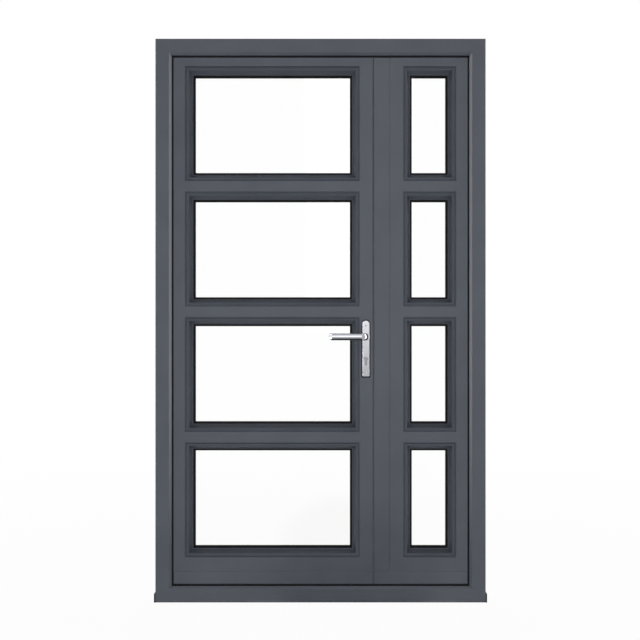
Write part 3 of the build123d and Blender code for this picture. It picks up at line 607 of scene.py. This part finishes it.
def screw_tree():
    tree = bpy.data.node_groups.new("cross_recess_screws", "GeometryNodeTree")
    sockets = {}
    for label, kind in (
        ("Seats", "NodeSocketGeometry"), ("Head Radius", "NodeSocketFloat"), ("Head Rise", "NodeSocketFloat"),
        ("Recess Radius", "NodeSocketFloat"), ("Finish", "NodeSocketMaterial"),
    ):
        sockets[label] = tree.interface.new_socket(name=label, in_out="INPUT", socket_type=kind).identifier
    tree.interface.new_socket(name="Screws", in_out="OUTPUT", socket_type="NodeSocketGeometry")
    given = add_node(tree, "NodeGroupInput").outputs
    radius, rise, recess = given["Head Radius"], given["Head Rise"], given["Recess Radius"]
    head = add_node(tree, "GeometryNodeMeshCone", None, {
        "Vertices": HEAD_SIDES, "Radius Top": share_of(tree, radius, RIM_SHARE),
        "Radius Bottom": radius, "Depth": rise})
    cross = add_node(tree, "GeometryNodeCurveStar", None, {
        "Points": CROSS_ARMS, "Inner Radius": share_of(tree, recess, CROSS_WAIST_SHARE),
        "Outer Radius": recess})
    flat = add_node(tree, "GeometryNodeFillCurve", None, {"Curve": cross.outputs["Curve"]}).outputs["Mesh"]
    upper = add_node(tree, "GeometryNodeExtrudeMesh", {"mode": "FACES"}, {
        "Mesh": flat, "Offset Scale": share_of(tree, rise, CUTTER_HEIGHT_SHARE)}).outputs["Mesh"]
    lower = add_node(tree, "GeometryNodeFlipFaces", None, {"Mesh": flat}).outputs["Mesh"]
    cutter = add_node(tree, "GeometryNodeJoinGeometry", None, {0: upper})
    tree.links.new(lower, cutter.inputs[0])
    closed = add_node(tree, "GeometryNodeMergeByDistance", None, {
        "Geometry": cutter.outputs[0], "Distance": CUTTER_MERGE_DISTANCE}).outputs[0]
    lift = add_node(tree, "ShaderNodeCombineXYZ", None, {"Z": share_of(tree, rise, RECESS_FLOOR_SHARE)})
    raised = add_node(tree, "GeometryNodeTransform", None, {
        "Geometry": closed, "Translation": lift.outputs[0]})
    screw = add_node(tree, "GeometryNodeMeshBoolean", {"operation": "DIFFERENCE"}, {
        0: head.outputs["Mesh"], 1: raised.outputs["Geometry"]})
    facing = add_node(tree, "GeometryNodeInputNamedAttribute", {"data_type": "FLOAT_VECTOR"}, {
        "Name": "facing"})
    turn = add_node(tree, "FunctionNodeAlignRotationToVector", {"axis": "Z"}, {"Vector": facing.outputs[0]})
    copies = add_node(tree, "GeometryNodeInstanceOnPoints", None, {
        "Points": given["Seats"], "Instance": screw.outputs["Mesh"], "Rotation": turn.outputs["Rotation"]})
    real = add_node(tree, "GeometryNodeRealizeInstances", None, {"Geometry": copies.outputs["Instances"]})
    coated = add_node(tree, "GeometryNodeSetMaterial", None, {
        "Geometry": real.outputs["Geometry"], "Material": given["Finish"]})
    add_node(tree, "NodeGroupOutput", None, {"Screws": coated.outputs["Geometry"]})
    return tree, sockets


screws, screw_sockets = screw_tree()
print("nodes in the screw tree:", len(screws.nodes))

# %% [markdown]
# Seats are worked out from the pieces that the screws hold: three on each hinge plate, one near each end
# of a handle plate, and a row down the lock's face plate and its keeps. The hinge screws carry the
# hinge's coat, the others are bare.

# %% Screws on their seats
HINGE_SCREW_IN_MM = 15.0
HINGE_PLATE_MM = 4.0
HINGE_SHARES = (0.16, 0.5, 0.84)
HANDLE_SCREW_IN_MM = 19.0
LOCK_SHARES = (0.0085, 0.225, 0.4, 0.59, 0.77, 0.9915)
KEEP_SHARES = (0.05, 0.95)
HOOK_KEEP_SHARES = (0.1, 0.9)
HINGE_SCREW_MM = (4.2, 0.9, 2.2)
HANDLE_SCREW_MM = (3.6, 0.6, 2.0)
LOCK_SCREW_MM = (3.4, 0.4, 1.9)


def set_screws(name, body, finish, sizes_mm, seats):
    """One mesh of screws for a body. Sizes are the head's radius and rise, and the recess's radius."""
    mesh = bpy.data.meshes.new(name)
    mesh.from_pydata([point for point, facing in seats], [], [])
    facings = mesh.attributes.new("facing", "FLOAT_VECTOR", "POINT")
    facings.data.foreach_set("vector", [value for point, facing in seats for value in facing])
    piece = bpy.data.objects.new(name, mesh)
    bpy.context.scene.collection.objects.link(piece)
    maker = piece.modifiers.new("screws", "NODES")
    maker.node_group = screws
    for label, size in zip(("Head Radius", "Head Rise", "Recess Radius"), sizes_mm):
        maker[screw_sockets[label]] = size * MM
    maker[screw_sockets["Finish"]] = finishes[finish]
    settle(piece)
    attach(piece, body)
    print(name, len(seats), "screws,", len(piece.data.polygons), "faces")


def hinge_seats(node):
    """Three seats on each hinge plate, down the middle of its flat, facing into the room."""
    seats = []
    for low, high in [box_of(half) for half in solids(node)]:
        plate_on_high_side = (low.x > 0) == ("frame" in node)
        x = high.x - HINGE_SCREW_IN_MM * MM if plate_on_high_side else low.x + HINGE_SCREW_IN_MM * MM
        for share in HINGE_SHARES:
            seats.append(((x, low.y + HINGE_PLATE_MM * MM, low.z + share * (high.z - low.z)), (0, 1, 0)))
    return seats


def plate_seats(node, direction, shares):
    """Seats at shares of a plate's height, on the flat that faces a direction."""
    seats = []
    for plate in solids(node):
        normal, middle = flat_towards(plate, direction)
        low, high = box_of(plate)
        for share in shares:
            seats.append(((middle.x, middle.y, low.z + share * (high.z - low.z)), tuple(normal)))
    return seats


for body, nodes in (
    ("frame", ("main_hinge_frame_halves", "side_hinge_frame_halves")),
    ("main_leaf", ("main_hinge_leaf_halves",)),
    ("side_leaf", ("side_hinge_leaf_halves",)),
):
    seats = [seat for node in nodes for seat in hinge_seats(node)]
    set_screws(body + "_hinge_screws", body, "hinge_coat", HINGE_SCREW_MM, seats)

plate_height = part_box("outer_plate")[1].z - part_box("outer_plate")[0].z
end_share = HANDLE_SCREW_IN_MM * MM / plate_height
seats = [seat for node, y in (("outer_plate", -1), ("inner_plate", 1))
         for seat in plate_seats(node, (0, y, 0), (end_share, 1 - end_share))]
set_screws("handle_screws", "main_leaf", "screw_zinc", HANDLE_SCREW_MM, seats)
seats = plate_seats("lock_face_plate", (1, 0, 0), LOCK_SHARES)
set_screws("lock_screws", "main_leaf", "screw_zinc", LOCK_SCREW_MM, seats)
seats = plate_seats("keep_plate", (-1, 0, 0), KEEP_SHARES)
seats += plate_seats("hook_keeps", (-1, 0, 0), HOOK_KEEP_SHARES)
set_screws("keep_screws", "side_leaf", "screw_zinc", LOCK_SCREW_MM, seats)

# %% [markdown]
# The studio is white. The floor and the world are white to the camera, to reflections and to what is
# seen through glass, while the light comes from soft boxes. The floor is part lit and part glowing, so
# it stays white and still takes a soft shadow.

# %% Studio
FLOOR_REACH = 20.0
FLOOR_ROUGHNESS = 0.9
GLOW_NEAR = 0.97
GLOW_REACH = (1.5, 4.0)
WORLD_LIGHT = 0.1


def seen_rays(tree):
    """1 for the rays that look at the background: from the camera, in a reflection or through glass."""
    path = add_node(tree, "ShaderNodeLightPath").outputs
    camera_or_glossy = add_node(tree, "ShaderNodeMath", {"operation": "MAXIMUM"}, {
        0: path["Is Camera Ray"], 1: path["Is Glossy Ray"]}).outputs[0]
    return add_node(tree, "ShaderNodeMath", {"operation": "MAXIMUM"}, {
        0: camera_or_glossy, 1: path["Is Transmission Ray"]}).outputs[0]


def level_sheet(name, middle, reach):
    """A level rectangle, given its middle and how far it reaches to each side along X and Y."""
    corners = [(-1, -1), (1, -1), (1, 1), (-1, 1)]
    points = [(middle[0] + x * reach[0], middle[1] + y * reach[1], middle[2]) for x, y in corners]
    mesh = bpy.data.meshes.new(name)
    mesh.from_pydata(points, [], [(0, 1, 2, 3)])
    sheet = bpy.data.objects.new(name, mesh)
    bpy.context.scene.collection.objects.link(sheet)
    return sheet


floor = level_sheet("floor", (0, 0, 0), (FLOOR_REACH, FLOOR_REACH))
floor_paint, tree, matt, place = new_finish("white_floor_paint")
matt.inputs["Base Color"].default_value = linear("d8d8d8")
matt.inputs["Roughness"].default_value = FLOOR_ROUGHNESS
matt.inputs["Specular IOR Level"].default_value = 0.0
away = add_node(tree, "ShaderNodeVectorMath", {"operation": "LENGTH"}, {0: place}).outputs["Value"]
glow_share = add_node(tree, "ShaderNodeMapRange", None, {
    "Value": away, "From Min": GLOW_REACH[0], "From Max": GLOW_REACH[1], "To Min": GLOW_NEAR, "To Max": 1.0})
share = add_node(tree, "ShaderNodeMath", {"operation": "MULTIPLY"}, {
    0: seen_rays(tree), 1: glow_share.outputs[0]})
glow = add_node(tree, "ShaderNodeEmission", None, {"Strength": 1.0})
blend = add_node(tree, "ShaderNodeMixShader", None, {
    0: share.outputs[0], 1: matt.outputs[0], 2: glow.outputs[0]})
tree.links.new(blend.outputs[0], tree.nodes["Material Output"].inputs["Surface"])
floor.data.materials.append(floor_paint)
floor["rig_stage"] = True

world = bpy.data.worlds.new("white_studio")
bpy.context.scene.world = world
world.use_nodes = True
tree = world.node_tree
level = add_node(tree, "ShaderNodeMapRange", None, {
    "Value": seen_rays(tree), "To Min": WORLD_LIGHT, "To Max": 1.0})
tree.nodes["Background"].inputs["Color"].default_value = linear("ffffff")
tree.links.new(level.outputs["Result"], tree.nodes["Background"].inputs["Strength"])
bpy.context.scene.view_settings.view_transform = "Standard"
print("world light:", WORLD_LIGHT)

# %% [markdown]
# Most of the light comes from straight in front, as in the picture: flat faces are light, and the steep
# sides of the beads are dark. A box high in front only shines: it shows in the handle as a soft light
# that fades downwards. Two tall strips at the sides only shine too, as bright lines on the bevels
# of the frame and on other rounded edges. A box above and behind lights the floor, and one far behind
# lights the back.

# %% Lamps
DOOR_MIDDLE = Vector((0.0, 0.0, 1.08))
STRIP_X = 2.3
STRIP_Y = -0.55
STRIP_Z = 1.7
STRIP_SIZE = (0.36, 3.4)
STRIP_RADIANCE = 17.0


def soft_box(name, place, aim, size, radiance, lights=True, shines=True):
    """A rectangular lamp with an even face. Radiance 1 is as bright as the white background.
    It lights matt surfaces, shines in glossy ones, or both."""
    lamp = bpy.data.lights.new(name, "AREA")
    lamp.shape = "RECTANGLE"
    lamp.size, lamp.size_y = size
    lamp.energy = radiance * math.pi * size[0] * size[1]
    box = bpy.data.objects.new(name, lamp)
    box.location = place
    box.rotation_euler = (Vector(aim) - Vector(place)).to_track_quat("-Z", "Y").to_euler()
    box.visible_camera = False
    box.visible_transmission = False
    box.visible_diffuse = lights
    box.visible_glossy = shines
    bpy.context.scene.collection.objects.link(box)


soft_box("front_fill", place=(0.0, -5.2, 0.8), aim=DOOR_MIDDLE, size=(2.4, 1.6), radiance=17.5, shines=False)
soft_box(
    "front_box", place=(0.36, -4.8, 2.4), aim=(0.36, 0.0, 2.2), size=(1.0, 2.9), radiance=1.7, lights=False)
soft_box("top_box", place=(0.0, 1.2, 4.6), aim=(0.0, 0.4, 0.0), size=(4.0, 3.0), radiance=2.0)
for name, side in (("left_strip", -1), ("right_strip", 1)):
    place = (side * STRIP_X, STRIP_Y, STRIP_Z)
    soft_box(name, place, (0.0, STRIP_Y, STRIP_Z), STRIP_SIZE, STRIP_RADIANCE, lights=False)
soft_box("back_fill", place=(0.0, 5.2, 1.3), aim=DOOR_MIDDLE, size=(2.4, 2.0), radiance=9.0, shines=False)

# %% [markdown]
# Polished metal only looks round when it has something dark to mirror. In the picture the underside of
# the lever is almost black, so a card lies on the floor under the handle and in front of it, as product
# photographers use one. It is nearly black in the middle and fades to white at its rim, so the glass
# mirrors no hard edge of it. It shows in reflections only: the camera, the light and the shadows pass
# through it.

# %% Graded card under the handle
CARD_MIDDLE = (0.12, -0.75, 0.004)
CARD_REACH = (0.4, 1.5, 1.0)
CARD_BLACK_FROM = 0.45
CARD_LEVEL = 0.08

card = level_sheet("graded_card", CARD_MIDDLE, CARD_REACH)
card_print, tree, plain_shader, place = new_finish("graded_black_card")
tree.nodes.remove(plain_shader)
centred = add_node(tree, "ShaderNodeMapping", {"vector_type": "TEXTURE"}, {
    "Vector": place, "Location": CARD_MIDDLE, "Scale": CARD_REACH})
spot = add_node(tree, "ShaderNodeTexGradient", {"gradient_type": "SPHERICAL"}, {
    "Vector": centred.outputs[0]})
whiteness = add_node(tree, "ShaderNodeMapRange", {"interpolation_type": "SMOOTHSTEP"}, {
    "Value": spot.outputs[1], "From Max": CARD_BLACK_FROM, "To Min": 1.0, "To Max": CARD_LEVEL})
glow = add_node(tree, "ShaderNodeEmission", None, {"Strength": whiteness.outputs[0]})
tree.links.new(glow.outputs[0], tree.nodes["Material Output"].inputs["Surface"])
card.data.materials.append(card_print)
card.visible_camera = False
card.visible_diffuse = False
card.visible_transmission = False
card.visible_shadow = False
card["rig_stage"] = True
print("graded card, half sizes in metres:", CARD_REACH[:2])

# %% [markdown]
# The finished model has to stay inside the loaded model's box, because the sizes belong to the
# construction.

# %% Compare the boxes and finish
seen_low, seen_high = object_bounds()
growth = [b - a for a, b in zip(cad_high, seen_high)] + [a - b for a, b in zip(cad_low, seen_low)]
print("largest growth over the loaded box in mm:", round(max(growth) / MM, 3))
